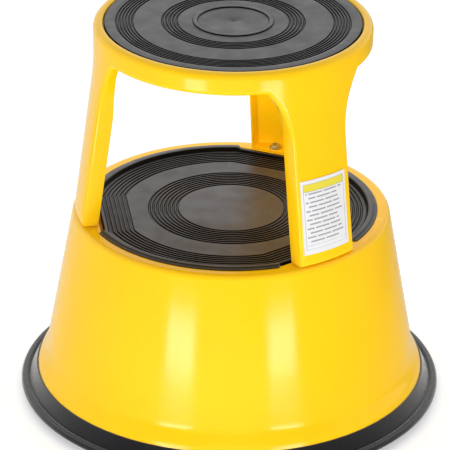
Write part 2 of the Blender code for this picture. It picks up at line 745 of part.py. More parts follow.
# ---------------------------------------------------------------- assembly
def build():
    clear_scene()
    yellow = make_material("yellow_paint", (0.95, 0.66, 0.01), 0.22, 0.0)
    black_rubber = make_material("black_rubber", (0.03, 0.03, 0.032), 0.55, 0.0)
    tread_rubber = make_material("tread_rubber", (0.07, 0.07, 0.075), 0.5, 0.0)
    paper = make_material("label_film", (0.9, 0.9, 0.9), 0.4, 0.0)
    zinc = make_material("zinc_steel", (0.62, 0.62, 0.64), 0.35, 1.0)
    nylon = make_material("nylon", (0.12, 0.12, 0.13), 0.45, 0.0)

    holes = build_bolt_hole_cutter()
    cut(build_base_shell(yellow), holes)
    build_upper_frame(yellow, holes)
    build_bumper_ring(black_rubber)
    build_top_tread(tread_rubber)
    build_low_tread(tread_rubber)
    build_label(paper)
    build_bolts(zinc)
    build_castors(zinc, yellow, nylon, black_rubber)


build()
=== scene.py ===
"""Looks of the kick step stool: enamelled sheet, ribbed rubber treads, bumper ring and castors.

Metres, +Z up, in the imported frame. Sizes and places come from the frame's boxes and joints.
"""
import json
import math

import bmesh
import bpy
from mathutils import Matrix, Vector


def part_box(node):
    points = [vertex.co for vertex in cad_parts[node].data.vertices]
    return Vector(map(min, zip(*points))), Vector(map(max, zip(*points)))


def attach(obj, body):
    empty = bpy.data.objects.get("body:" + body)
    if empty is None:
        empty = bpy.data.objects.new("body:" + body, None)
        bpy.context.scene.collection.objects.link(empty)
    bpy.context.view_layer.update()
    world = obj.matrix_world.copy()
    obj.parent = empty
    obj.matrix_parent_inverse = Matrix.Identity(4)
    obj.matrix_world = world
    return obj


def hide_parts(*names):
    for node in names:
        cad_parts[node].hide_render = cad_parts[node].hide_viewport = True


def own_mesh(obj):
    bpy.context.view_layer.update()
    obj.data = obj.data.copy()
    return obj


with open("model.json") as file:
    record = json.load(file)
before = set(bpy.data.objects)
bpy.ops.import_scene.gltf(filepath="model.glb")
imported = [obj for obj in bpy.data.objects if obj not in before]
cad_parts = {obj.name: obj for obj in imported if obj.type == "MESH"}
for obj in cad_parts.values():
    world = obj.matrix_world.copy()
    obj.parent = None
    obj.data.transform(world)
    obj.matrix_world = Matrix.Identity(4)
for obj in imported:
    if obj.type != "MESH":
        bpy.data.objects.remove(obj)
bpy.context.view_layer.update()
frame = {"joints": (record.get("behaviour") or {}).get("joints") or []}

STOOL = "stool"
LEG_ANGLES = [math.radians(a) for a in (-90, 30, 150)]
JOINTS = {joint["name"]: joint for joint in frame["joints"]}
CASTORS = (1, 2, 3)

# ---- base shell and bumper ring ----
GAP = 0.0003
SHEET = 0.0015
DECK_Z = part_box("base_shell")[1].z
FOOT = (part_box("base_shell")[1].y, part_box("base_shell")[0].z)
RECESS_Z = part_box("lower_tread_mat")[0].z - GAP
RECESS_R = 0.1462           # upper edge of the step's dish between the legs
RECESS_CHORD = 0.1432       # distance of that edge from the axis at a leg's notch
RECESS_RUN = 0.0012
SHOULDER_R = 0.0065
CONE_TOP = (0.1678, 0.2068)
CONE_SLOPE = 0.1836
FLARE_TOP_Z = 0.0460
FLARE_EDGE = (0.2047, 0.0345)
FLARE_BENDS = (0.0040, 0.0030)      # how wide the bends above and below the flare are
FOOT_SLOPE = 0.28
BUMPER_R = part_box("bumper_ring")[1].y
BUMPER_LOW_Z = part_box("bumper_ring")[0].z
BUMPER_LIP_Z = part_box("bumper_ring")[1].z
BUMPER_INNER_R = 0.1990
BUMPER_INNER_Z = 0.0200     # upper edge of the ring's inner side

# ---- upper frame ----
LIP_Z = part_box("upper_frame")[1].z
LIP_OUT_R = 0.0060
LIP_IN_R = 0.0025
LIP_WALL_R = 0.1345
PLATE_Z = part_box("top_tread_mat")[0].z - GAP
SKIRT_R = 0.1445
SKIRT_FOOT_Z = 0.3988
SKIRT_FLANGE = 0.0110
LEG_KNEE_Z = 0.3730
LEG_KNEE_W = 0.0120
LEG_SLOPE = 0.131
LEG_HALF = 0.0350
FLANGE_FLARE = 0.05
LEG_TAB_CHORD = 0.1450
ARCH_R = 0.0950
ARCH_Z = 0.3360
BEND_R = 0.0045

# ---- treads ----
TOP_TREAD_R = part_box("top_tread_mat")[1].x
TOP_TREAD_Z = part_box("top_tread_mat")[1].z
LOW_TREAD_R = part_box("lower_tread_mat")[1].y
LOW_LIP_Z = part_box("lower_tread_mat")[1].z
LOW_BORDER_Z = DECK_Z + 0.0011     # top of the tread's border at the notches
LOW_FIELD_Z = 0.2085
LOW_TREAD_CHORD = 0.1400    # distance of the leg notch's straight edge from the axis
NOTCH_TURN = math.radians(18.3)    # half the notch that the tread leaves for a leg
TIP_TURN = math.radians(1.6)       # the lip's rounded end takes this much more
LOW_LIP_RISE = 0.0004       # the lip stands this much above the CAD's tread
RIB_CHORD = (0.1150, 0.1071, 1.04)  # a rib's radius, its distance beside a leg, and how that grows
RIB_DEPTH = 0.0014
TOP_RIBS = ((0.0570, 0.0755, 5), (0.1030, 0.1226, 6))       # (inner radius, outer radius, count)
LOW_RIBS = ((0.0556, 0.0892, 8), (RIB_CHORD[0], 0.1405, 6))
CENTRE_RING = (0.0366, 0.0424)      # radii of the top tread's one raised ring
CENTRE_RING_RISE = 0.0012

# ---- label ----
LABEL_LOW, LABEL_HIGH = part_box("leg_label")
LABEL_T = 0.0003
LABEL_MARGIN = 0.0028
LABEL_RULE = 0.0005
LABEL_CELLS = 30
LABEL_BARS = 12

# ---- bolts and nuts ----
BOLT_R = 0.0030
BOLT_HOLE_R = 0.0033
BOLT_HEAD_R = 0.0065
BOLT_HEAD_T = 0.0042
NUT_CORNER_R = 0.0058
NUT_CHAMFER = 0.0006

# ---- castors ----
CASTOR_R = 0.1400
TRAIL = 0.0140
WHEEL_R = 0.0200
WHEEL_HALF = 0.0090
HUB_R = 0.0150
AXLE_R = 0.0030
AXLE_HEAD = (0.0045, 0.0012)    # radius and thickness
FORK_HALF = 0.0125
FORK_T = 0.0020
FORK_ENDS = (-0.0120, 0.0160)
FORK_SKIRT = 0.0040
FORK_BOSS_R = 0.0065
CROWN_Z = 0.0428
CROWN_T = 0.0025
STEM_R = 0.0050
COLLAR_R = 0.0125
COLLAR_T = 0.0030
COLLAR_Z = CROWN_Z + CROWN_T + GAP
STEM_TOP_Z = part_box("castor_1_stem")[1].z
RIVET_R = 0.0060
SHELF_Z = 0.0905
SHELF_T = 0.0020
SHELF_HALF = 0.0260
SHELF_DROP = 0.0140
SHELF_FRONT = 0.0180
SHELF_FOLD = 0.0025
BUSH_WALL = 0.0016
BUSH_FLANGE = (0.0115, 0.0030)      # radius and thickness
BUSH_TOP = SHELF_Z + GAP + BUSH_FLANGE[1]
WASHER = (0.0090, 0.0015)
CLIP = (0.0076, 0.0010)
CLIP_Z = BUSH_TOP + GAP + WASHER[1] + GAP
GROOVE_R = STEM_R - 0.0008
GROOVE_WIDTH = 0.0016
SPRING_R = 0.0095
SPRING_WIRE_R = 0.0010
SPRING_TURNS = 4.5
SPRING_LOW_Z = COLLAR_Z + COLLAR_T + GAP
SPRING_HIGH_Z = SHELF_Z - SHELF_T - GAP

# ---- camera and studio ----
CAMERA_TURN = math.radians(-128.1)
CAMERA_RISE = math.radians(25.574)
CAMERA_ROLL = math.radians(0.659)
CAMERA_DISTANCE = 3.3896
CAMERA_TARGET = Vector((0.0, 0.0, 0.2046))
CAMERA_LENS = 256.0
CAMERA_SHIFT = (-0.01378, -0.03178)
BACKDROP_TURN = CAMERA_TURN + math.radians(184)     # the brightest side, behind the stool
FLOOR_R = 9.0
FLOOR_GLOW = 0.34
FLOOR_WHITE = (0.90, 0.90, 0.90)
STRIPS = (("strip_left", -28, 1.1), ("strip_right", 30, 1.0))   # (name, degrees aside, power)
STRIP_PLACE = (0.85, 0.062)     # distance and height
FILL_PLACE = (2.0, 0.45)
INNER_FILL_PLACE = (0.03, 0.33)


# ---------------------------------------------------------------- material nodes
def start_material(name, colour, roughness, metallic=0.0):
    material = bpy.data.materials.new(name)
    material.use_nodes = True
    shader = material.node_tree.nodes["Principled BSDF"]
    shader.inputs["Base Color"].default_value = (*colour, 1.0)
    shader.inputs["Roughness"].default_value = roughness
    shader.inputs["Metallic"].default_value = metallic
    material.diffuse_color = (*colour, 1.0)
    return material, material.node_tree, shader


def plug(value, shader, name):
    shader.id_data.links.new(value, shader.inputs[name])


def noise(tree, scale, detail=2.0, stretch=(1.0, 1.0, 1.0)):
    """Noise in the object's own metres; a scale of 1000 gives grains of about a millimetre."""
    coordinates = tree.nodes.new("ShaderNodeTexCoord")
    mapping = tree.nodes.new("ShaderNodeMapping")
    mapping.inputs["Scale"].default_value = stretch
    texture = tree.nodes.new("ShaderNodeTexNoise")
    texture.inputs["Scale"].default_value = scale
    texture.inputs["Detail"].default_value = detail
    tree.links.new(coordinates.outputs["Object"], mapping.inputs["Vector"])
    tree.links.new(mapping.outputs["Vector"], texture.inputs["Vector"])
    return texture.outputs["Fac"]


def remap(tree, value, low, high, to_low, to_high):
    node = tree.nodes.new("ShaderNodeMapRange")
    node.inputs["From Min"].default_value = low
    node.inputs["From Max"].default_value = high
    node.inputs["To Min"].default_value = to_low
    node.inputs["To Max"].default_value = to_high
    tree.links.new(value, node.inputs["Value"])
    return node.outputs["Result"]


def mix_colour(tree, factor, first, second):
    """Mixes two colours; either may be a tuple or another node's socket."""
    node = tree.nodes.new("ShaderNodeMix")
    node.data_type = "RGBA"
    tree.links.new(factor, node.inputs["Factor"])
    for socket, value in (("A", first), ("B", second)):
        target = [s for s in node.inputs if s.name == socket and s.type == "RGBA"][0]
        if isinstance(value, tuple):
            target.default_value = (*value, 1.0)
        else:
            tree.links.new(value, target)
    return [s for s in node.outputs if s.type == "RGBA"][0]


def add_bump(tree, height, distance, before=None):
    node = tree.nodes.new("ShaderNodeBump")
    node.inputs["Distance"].default_value = distance
    tree.links.new(height, node.inputs["Height"])
    if before is not None:
        tree.links.new(before, node.inputs["Normal"])
    return node.outputs["Normal"]


def edge_mask(tree, low, high):
    """1 on convex edges, 0 elsewhere."""
    geometry = tree.nodes.new("ShaderNodeNewGeometry")
    return remap(tree, geometry.outputs["Pointiness"], low, high, 0.0, 1.0)


def hidden_corners(tree, reach):
    """1 deep in grooves and corners narrower than the reach, 0 in the open."""
    node = tree.nodes.new("ShaderNodeAmbientOcclusion")
    node.samples = 8
    node.inputs["Distance"].default_value = reach
    return remap(tree, node.outputs["AO"], 0.50, 0.97, 1.0, 0.0)


def steep_sides(tree):
    """1 on upright faces, 0 on level ones."""
    geometry = tree.nodes.new("ShaderNodeNewGeometry")
    parts = tree.nodes.new("ShaderNodeSeparateXYZ")
    tree.links.new(geometry.outputs["Normal"], parts.inputs["Vector"])
    return remap(tree, parts.outputs["Z"], 0.80, 0.975, 1.0, 0.0)


def combine(tree, operation, first, second):
    node = tree.nodes.new("ShaderNodeMath")
    node.operation = operation
    tree.links.new(first, node.inputs[0])
    tree.links.new(second, node.inputs[1])
    return node.outputs["Value"]


def distance_along(tree, output, direction):
    """A texture coordinate's part along a direction."""
    coordinates = tree.nodes.new("ShaderNodeTexCoord")
    node = tree.nodes.new("ShaderNodeVectorMath")
    node.operation = "DOT_PRODUCT"
    node.inputs[1].default_value = direction
    tree.links.new(coordinates.outputs[output], node.inputs[0])
    return node.outputs["Value"]


def ray_kind(tree, kind):
    return tree.nodes.new("ShaderNodeLightPath").outputs[kind]


# ---------------------------------------------------------------- materials
def enamel():
    """Gloss baked enamel: slow drift of the colour, orange peel, fine dust nibs and a painted
    highlight on convex edges.
    """
    material, tree, shader = start_material("yellow_enamel", (0.93, 0.62, 0.006), 0.30)
    drift = remap(tree, noise(tree, 9.0, 3.0), 0.35, 0.65, 0.0, 1.0)
    colour = mix_colour(tree, drift, (0.930, 0.540, 0.003), (0.960, 0.568, 0.006))
    nibs = remap(tree, noise(tree, 650.0, 1.0), 0.76, 0.80, 0.0, 0.35)
    colour = mix_colour(tree, nibs, colour, (0.45, 0.27, 0.01))
    # Painted highlight: convex edges are painted a paler yellow.
    colour = mix_colour(tree, remap(tree, edge_mask(tree, 0.53, 0.60), 0, 1, 0, 0.25), colour,
                        (1.0, 0.78, 0.12))
    plug(colour, shader, "Base Color")
    smears = remap(tree, noise(tree, 28.0, 5.0, (1.0, 1.0, 0.3)), 0.3, 0.7, 0.20, 0.34)
    plug(smears, shader, "Roughness")
    shader.inputs["Specular IOR Level"].default_value = 0.0
    shader.inputs["Coat Weight"].default_value = 1.0
    shader.inputs["Coat IOR"].default_value = 1.32
    shader.inputs["Coat Roughness"].default_value = 0.15
    peel = add_bump(tree, noise(tree, 420.0, 2.0), 0.00003)
    panel = add_bump(tree, noise(tree, 16.0, 1.0), 0.00025, peel)
    plug(panel, shader, "Normal")
    plug(panel, shader, "Coat Normal")
    return material


def rubber(name, dark, light, roughness, grain, gloss=0.5, dust=0.0):
    """Moulded rubber: matt grain, cloudy bloom, a painted highlight on convex edges, dust seen at a
    glancing angle.
    """
    material, tree, shader = start_material(name, light, roughness)
    bloom = remap(tree, noise(tree, 22.0, 6.0), 0.32, 0.68, 0.0, 1.0)
    colour = mix_colour(tree, bloom, dark, light)
    # Painted highlight: convex edges are painted up to twice as pale as the rubber.
    painted_edge_highlight = remap(tree, edge_mask(tree, 0.505, 0.56), 0, 1, 0, 0.5)
    colour = mix_colour(tree, painted_edge_highlight, colour, tuple(min(1.0, c * 2.0 + 0.01) for c in light))
    plug(colour, shader, "Base Color")
    shader.inputs["Specular IOR Level"].default_value = gloss
    shader.inputs["Sheen Weight"].default_value = dust
    shader.inputs["Sheen Roughness"].default_value = 0.4
    patches = remap(tree, noise(tree, 60.0, 4.0), 0.3, 0.7, roughness - 0.07, roughness + 0.09)
    plug(patches, shader, "Roughness")
    fine = add_bump(tree, noise(tree, 1500.0, 3.0), grain)
    coarse = add_bump(tree, noise(tree, 240.0, 2.0), grain * 1.5, fine)
    plug(coarse, shader, "Normal")
    return material


def ribbed_rubber():
    """The treads' rubber with painted shade: grooves and upright sides are painted darker and given
    less specular than the open tops.
    """
    material = rubber("tread_rubber", (0.023, 0.023, 0.025), (0.034, 0.034, 0.037), 0.40, 0.00004)
    tree = material.node_tree
    shader = tree.nodes["Principled BSDF"]
    # Painted shade: grooves (by ambient occlusion) and upright rib sides are painted near-black
    # with little specular.
    painted_groove_shade = combine(tree, "MAXIMUM", hidden_corners(tree, 0.004), steep_sides(tree))
    colour_before_shade = shader.inputs["Base Color"].links[0].from_socket
    plug(mix_colour(tree, painted_groove_shade, colour_before_shade, (0.0025, 0.0022, 0.002)), shader, "Base Color")
    plug(remap(tree, painted_groove_shade, 0.0, 1.0, 0.55, 0.05), shader, "Specular IOR Level")
    return material


def zinc():
    """Bright zinc plate with rolling marks and faint cloudy patches."""
    material, tree, shader = start_material("zinc_steel", (0.62, 0.62, 0.64), 0.3, 1.0)
    cloud = remap(tree, noise(tree, 45.0, 4.0), 0.35, 0.65, 0.0, 1.0)
    colour = mix_colour(tree, cloud, (0.50, 0.51, 0.53), (0.70, 0.69, 0.66))
    plug(colour, shader, "Base Color")
    marks = noise(tree, 300.0, 3.0, (1.0, 1.0, 6.0))
    plug(remap(tree, marks, 0.3, 0.7, 0.22, 0.42), shader, "Roughness")
    plug(add_bump(tree, marks, 0.00002), shader, "Normal")
    return material


def nylon():
    material, tree, shader = start_material("nylon", (0.05, 0.05, 0.052), 0.45)
    plug(mix_colour(tree, noise(tree, 70.0, 3.0), (0.035, 0.035, 0.037), (0.07, 0.07, 0.07)),
         shader, "Base Color")
    plug(add_bump(tree, noise(tree, 900.0, 2.0), 0.00003), shader, "Normal")
    return material


def film(name, colour, roughness=0.33):
    """Printed film: faint mottling and a slightly uneven gloss."""
    material, tree, shader = start_material(name, colour, roughness)
    darker = tuple(c * 0.93 for c in colour)
    plug(mix_colour(tree, noise(tree, 120.0, 4.0), darker, colour), shader, "Base Color")
    plug(remap(tree, noise(tree, 80.0), 0.3, 0.7, roughness - 0.05, roughness + 0.08),
         shader, "Roughness")
    plug(add_bump(tree, noise(tree, 500.0, 2.0), 0.00001), shader, "Normal")
    return material


MATERIALS = {
    "yellow_enamel": enamel(),
    "black_rubber": rubber("black_rubber", (0.004, 0.004, 0.005), (0.006, 0.006, 0.008), 0.28,
                           0.00002, gloss=0.18, dust=0.8),
    "tread_rubber": ribbed_rubber(),
    "wheel_rubber": rubber("wheel_rubber", (0.03, 0.03, 0.03), (0.06, 0.058, 0.055), 0.62, 0.00004),
    "zinc_steel": zinc(),
    "nylon": nylon(),
    "label_film": film("label_film", (0.76, 0.76, 0.77)),
}


# ---------------------------------------------------------------- mesh helpers
def around(radius, turn, z=0.0):
    """The point at a radius and an angle about the Z axis."""
    return Vector((radius * math.cos(turn), radius * math.sin(turn), z))


def sheet_between(bm, lines):
    """Quads between neighbouring lines of points that have the same count."""
    rows = [[bm.verts.new(p) for p in line] for line in lines]
    faces = []
    for first, second in zip(rows, rows[1:]):
        for k in range(len(first) - 1):
            faces.append(bm.faces.new((first[k], first[k + 1], second[k + 1], second[k])))
    return faces


def to_mesh(bm, sharp=35.0):
    """A closed bmesh as a smooth-shaded mesh with its faces pointing out."""
    bmesh.ops.remove_doubles(bm, verts=bm.verts[:], dist=1e-6)
    bmesh.ops.recalc_face_normals(bm, faces=bm.faces[:])
    mesh = bpy.data.meshes.new("piece")
    bm.to_mesh(mesh)
    bm.free()
    mesh.shade_smooth()
    mesh.set_sharp_from_angle(angle=math.radians(sharp))
    return mesh


def face_up(mesh):
    """Turns the mesh inside out if its highest face looks down."""
    if max(mesh.polygons, key=lambda face: face.center.z).normal.z < 0.0:
        mesh.flip_normals()
    return mesh


def add_rod(bm, radius, length, matrix, segments=36):
    bmesh.ops.create_cone(bm, cap_ends=True, segments=segments, radius1=radius, radius2=radius,
                          depth=length, matrix=matrix)


def add_piece(name, mesh, slot, body, *nodes):
    """Links a mesh as a piece that rides on a body and stands for CAD nodes."""
    mesh.name = name
    if not mesh.materials:
        mesh.materials.append(MATERIALS[slot])
    item = bpy.data.objects.new(name, mesh)
    bpy.context.scene.collection.objects.link(item)
    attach(item, body)
    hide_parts(*nodes)
    return item


def bake(mesh, modifiers, sharp=35.0):
    """The mesh after a list of (type, settings) modifiers."""
    item = bpy.data.objects.new("bench", mesh)
    bpy.context.scene.collection.objects.link(item)
    for kind, settings in modifiers:
        modifier = item.modifiers.new(kind, kind)
        for key, value in settings.items():
            setattr(modifier, key, value)
    bpy.context.view_layer.update()
    shaped = item.evaluated_get(bpy.context.evaluated_depsgraph_get())
    result = bpy.data.meshes.new_from_object(shaped)
    bpy.data.objects.remove(item)
    result.shade_smooth()
    result.set_sharp_from_angle(angle=math.radians(sharp))
    return result


def thicken(thickness):
    return ("SOLIDIFY", {"thickness": thickness, "offset": -1.0, "use_even_offset": True})


def soften(width, segments=2, angle=50.0):
    return ("BEVEL", {"width": width, "segments": segments, "limit_method": "ANGLE",
                      "angle_limit": math.radians(angle)})


def drill(mesh, cutter_mesh):
    """The mesh with another mesh's volume taken out."""
    cutter = bpy.data.objects.new("cutter", cutter_mesh)
    bpy.context.scene.collection.objects.link(cutter)
    settings = {"operation": "DIFFERENCE", "solver": "EXACT", "object": cutter}
    result = bake(mesh, [("BOOLEAN", settings)])
    bpy.data.objects.remove(cutter)
    return result


def rounded(corners, steps=4):
    """Points of a closed or open profile whose (radius, height, rounding) corners are rounded."""
    points = []
    count = len(corners)
    for k, (radius, height, rounding) in enumerate(corners):
        here = Vector((radius, height))
        if rounding == 0.0:
            points.append((radius, height))
            continue
        before = Vector(corners[k - 1][:2]) - here
        after = Vector(corners[(k + 1) % count][:2]) - here
        reach = rounding / math.tan(before.angle(after) / 2)
        reach = min(reach, 0.49 * before.length, 0.49 * after.length)
        start = here + before.normalized() * reach
        end = here + after.normalized() * reach
        for step in range(steps + 1):
            t = step / steps
            point = start * (1 - t) ** 2 + here * (2 * t * (1 - t)) + end * t ** 2
            points.append((point.x, point.y))
    return points


def inset(points, distance):
    """An open profile moved to its right side by a distance, as seen along its points."""
    moved = []
    for k, point in enumerate(points):
        before = Vector(points[max(k - 1, 0)])
        after = Vector(points[min(k + 1, len(points) - 1)])
        along = (after - before).normalized()
        moved.append((point[0] + along.y * distance, point[1] - along.x * distance))
    return moved


def lathe(profile, segments, axis="Z"):
    """Turns (radius, height) points about an axis; a profile off the axis is closed into a ring."""
    if profile[0][0] > 0.0:
        profile = profile + profile[:1]
    lines = []
    for k in range(segments + 1):
        line = [around(r, 2 * math.pi * k / segments, h) for r, h in profile]
        lines.append(line if axis == "Z" else [point.xzy for point in line])
    bm = bmesh.new()
    sheet_between(bm, lines)
    return bm


def ribs(start, end, count, crest, floor):
    """(radius, height) points of flat-topped ribs with round-bottomed grooves between them."""
    pitch = (end - start) / count
    drop = crest - floor
    shape = [(0.02, 0.97), (0.06, 0.80), (0.22, 0.15), (0.40, 0.0), (0.58, 0.15), (0.74, 0.80),
             (0.78, 0.97), (0.82, 1.0), (0.98, 1.0)]
    return [(start + pitch * (k + share), floor + drop * rise)
            for k in range(count) for share, rise in shape]


# ---------------------------------------------------------------- base shell and bumper ring
def knee(below, width):
    """A ramp that starts at zero, rounded over a width."""
    return 0.5 * (below + math.hypot(below, width))


def cone_radius(z):
    top = CONE_TOP[0] + CONE_SLOPE * (CONE_TOP[1] - z)
    corner_r = CONE_TOP[0] + CONE_SLOPE * (CONE_TOP[1] - FLARE_TOP_Z)
    flare = (FLARE_EDGE[0] - corner_r) / (FLARE_TOP_Z - FLARE_EDGE[1])
    foot = (FOOT[0] - FLARE_EDGE[0]) / (FLARE_EDGE[1] - FOOT[1])
    return top + (flare - CONE_SLOPE) * knee(FLARE_TOP_Z - z, FLARE_BENDS[0]) \
        + (foot - flare) * knee(FLARE_EDGE[1] - z, FLARE_BENDS[1])


def bolt_places():
    """Where the two bolts of each leg's foot stand, on the CAD's own bolts."""
    places = []
    for leg in (1, 2, 3):
        for side in ("left", "right"):
            low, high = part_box(f"leg_{leg}_bolt_{side}")
            places.append((f"leg_{leg}", side, (low + high) / 2, low.z, high.z))
    return places


def bolt_holes():
    bm = bmesh.new()
    for _, _, middle, _, _ in bolt_places():
        add_rod(bm, BOLT_HOLE_R, 0.012, Matrix.Translation((middle.x, middle.y, DECK_Z)), 24)
    return to_mesh(bm)


def round_columns(steps):
    """(angle, turn from the nearest leg's middle) of columns, dense round a notch's corners."""
    dense = math.radians(16.0)
    sparse = math.radians(23.0)
    half = [dense * k / steps[0] for k in range(steps[0])]
    half += [dense + (sparse - dense) * k / steps[1] for k in range(steps[1])]
    half += [sparse + (math.pi / 3 - sparse) * k / steps[2] for k in range(steps[2] + 1)]
    columns = []
    for leg in LEG_ANGLES:
        for away in [-a for a in half[:0:-1]] + half[:-1]:
            columns.append((leg + away, abs(away)))
    return columns


def swept(line_of, columns):
    """Joins the (radius, height) lines that stand at the columns' angles."""
    lines = [[around(r, angle, z) for r, z in line_of(away)]
             for angle, away in columns + columns[:1]]
    bm = bmesh.new()
    sheet_between(bm, lines)
    return bm


def swell(away):
    """How far a column has come from a leg's notch to the round stretch: 0 to 1, easing in."""
    tip = min(max((away - NOTCH_TURN) / TIP_TURN, 0.0), 1.0)
    return math.sqrt(1.0 - (1.0 - tip) ** 2)


def notch_radius(chord, round_radius, away):
    straight = chord / math.cos(min(away, NOTCH_TURN))
    return straight + (round_radius - straight) * swell(away)


def shell_line(away):
    """The shell's section from the dish's middle to the foot, and back along the inside."""
    edge = notch_radius(RECESS_CHORD, RECESS_R, away)
    shoulder = CONE_TOP[0] - CONE_SLOPE * (DECK_Z - CONE_TOP[1])
    outside = rounded([(0.0, RECESS_Z, 0.0), (edge - RECESS_RUN, RECESS_Z, 0.0008),
                       (edge, DECK_Z, 0.0012), (shoulder, DECK_Z, SHOULDER_R),
                       (cone_radius(0.1), 0.1, 0.0)], 6)
    rows = 30
    top = FLARE_TOP_Z + 0.008
    for k in range(rows + 1):
        z = top + (FOOT[1] - top) * k / rows
        outside.append((cone_radius(z), z))
    inside = inset(outside, SHEET)
    inside[0] = (0.0, RECESS_Z - SHEET)
    return outside + inside[::-1]


def build_base_shell(holes):
    mesh = to_mesh(swept(shell_line, round_columns((14, 14, 22))))
    add_piece("base_shell_enamel", drill(mesh, holes), "yellow_enamel", STOOL, "base_shell")


def build_bumper_ring():
    lip = BUMPER_LIP_Z
    wall = SHEET / math.cos(math.atan(FOOT_SLOPE)) + GAP
    slot_z = FOOT[1] - GAP
    corners = [
        (cone_radius(lip) + GAP, lip, 0.0003), (cone_radius(lip) + 0.0018, lip - 0.0004, 0.0008),
        (0.2152, 0.0126, 0.0006), (0.2163, 0.0124, 0.0004), (0.2180, 0.0137, 0.0006),
        (0.2198, 0.0139, 0.0004), (0.2204, 0.0134, 0.0002), (0.2210, 0.0137, 0.0004),
        (0.2236, 0.0131, 0.0010), (BUMPER_R, 0.0108, 0.0010), (BUMPER_R, 0.0088, 0.0010),
        (BUMPER_R - 0.0015, BUMPER_LOW_Z, 0.0010), (BUMPER_INNER_R, BUMPER_LOW_Z, 0.0010),
        (BUMPER_INNER_R + 0.0015, BUMPER_INNER_Z, 0.0010),
        (cone_radius(BUMPER_INNER_Z) - wall, BUMPER_INNER_Z, 0.0005),
        (FOOT[0] - wall, slot_z, 0.0), (FOOT[0] + GAP, slot_z, 0.0),
    ]
    mesh = to_mesh(lathe(rounded(corners, 3), 240), 50)
    add_piece("bumper_ring_rubber", mesh, "black_rubber", STOOL, "bumper_ring")


# ---------------------------------------------------------------- upper frame
def skin_radius(z):
    """Outside radius of the frame: upright at the skirt, leaning outwards down the legs."""
    return SKIRT_R + LEG_SLOPE * knee(LEG_KNEE_Z - z, LEG_KNEE_W)


def skin_lean(z):
    step = 0.0005
    return (skin_radius(z - step) - skin_radius(z + step)) / (2 * step)


def half_columns(leg_steps, arch_steps, window_steps):
    """Mesh columns from a leg's middle to the next window's middle."""
    columns = []
    for k in range(leg_steps + 1):
        columns.append({"offset": (LEG_HALF - BEND_R) * k / leg_steps, "end": ARCH_Z,
                        "facing": (0.0, 1.0), "share": 0.0})
    reach = ARCH_R + BEND_R
    sweep = math.asin((SKIRT_FOOT_Z + BEND_R - ARCH_Z) / reach)
    for k in range(1, arch_steps + 1):
        turn = sweep * k / arch_steps
        facing = (math.cos(turn), math.sin(turn))
        if k == arch_steps:
            facing = (math.cos(turn) / (1.0 + math.sin(turn)), 1.0)
        columns.append({"offset": LEG_HALF + ARCH_R - reach * math.cos(turn),
                        "end": ARCH_Z + reach * math.sin(turn),
                        "facing": facing, "share": k / arch_steps})
    start = math.asin(columns[-1]["offset"] / SKIRT_R)
    for k in range(1, window_steps + 1):
        columns.append({"angle": start + (math.pi / 3 - start) * k / window_steps,
                        "end": SKIRT_FOOT_Z + BEND_R, "facing": (0.0, 1.0), "share": 1.0})
    return columns


def column_angle(column, side, z):
    if "angle" in column:
        return side * column["angle"]
    return side * math.asin(column["offset"] / skin_radius(z))


def skin_point(leg, column, side, z):
    angle = leg + column_angle(column, side, z)
    return around(skin_radius(z), angle, z)


def edge_rib(leg, column, side, z, facing, steps):
    """Points that turn the pressed edge in: round the bend, then along the inward flange."""
    angle = leg + column_angle(column, side, z)
    out = around(1.0, angle)
    aside = Vector((-math.sin(angle), math.cos(angle), 0.0)) * side
    leg_out = around(1.0, leg)
    leg_aside = Vector((-math.sin(leg), math.cos(leg), 0.0)) * side
    lean = skin_lean(z)
    fall = Vector((lean * out.x, lean * out.y, -1.0)).normalized()
    normal = Vector((out.x, out.y, lean)).normalized()
    across, down = facing
    edge_dir = aside * across + fall * down
    share = column["share"]
    flare = FLANGE_FLARE * min(1.0, column.get("offset", 0.0) / (LEG_HALF - BEND_R))
    inward = (leg_aside * flare - leg_out).lerp(-out, share).normalized()
    sweep = math.acos(max(-1.0, min(1.0, inward.dot(edge_dir.normalized()))))
    centre = skin_point(leg, column, side, z) - normal * BEND_R
    points = []
    for k in range(steps + 1):
        turn = sweep * k / steps
        points.append(centre + normal * (BEND_R * math.cos(turn))
                      + edge_dir * (BEND_R * math.sin(turn)))
    foot_chord = math.sqrt(skin_radius(DECK_Z) ** 2 - LEG_HALF ** 2)
    chord_here = math.sqrt(skin_radius(z) ** 2 - LEG_HALF ** 2)
    flange_end = chord_here - (foot_chord - LEG_TAB_CHORD)
    if down > 0.0 and share == 0.0:
        flange_end = LEG_TAB_CHORD
    leg_depth = (points[-1].dot(leg_out) - flange_end) / -inward.dot(leg_out)
    depth = leg_depth + (SKIRT_FLANGE - BEND_R - leg_depth) * share
    points.append(points[-1] + inward * depth)
    return points


def edge_ribs(leg, columns, side, leg_rows, foot_z, bend_steps):
    """Ribs from the middle of a leg's foot, up its side, round the arch to the window's middle."""
    legs = [c for c in columns if c["share"] == 0.0]
    edge = legs[-1]
    lines = [edge_rib(leg, c, side, foot_z, (0.0, 1.0), bend_steps) for c in legs[:-1]]
    lines.append(edge_rib(leg, edge, side, foot_z, (1.0, 1.0), bend_steps))
    for k in range(1, leg_rows + 1):
        z = foot_z + (edge["end"] - foot_z) * k / leg_rows
        lines.append(edge_rib(leg, edge, side, z, (1.0, 0.0), bend_steps))
    for column in columns[len(legs):]:
        lines.append(edge_rib(leg, column, side, column["end"], column["facing"], bend_steps))
    return lines


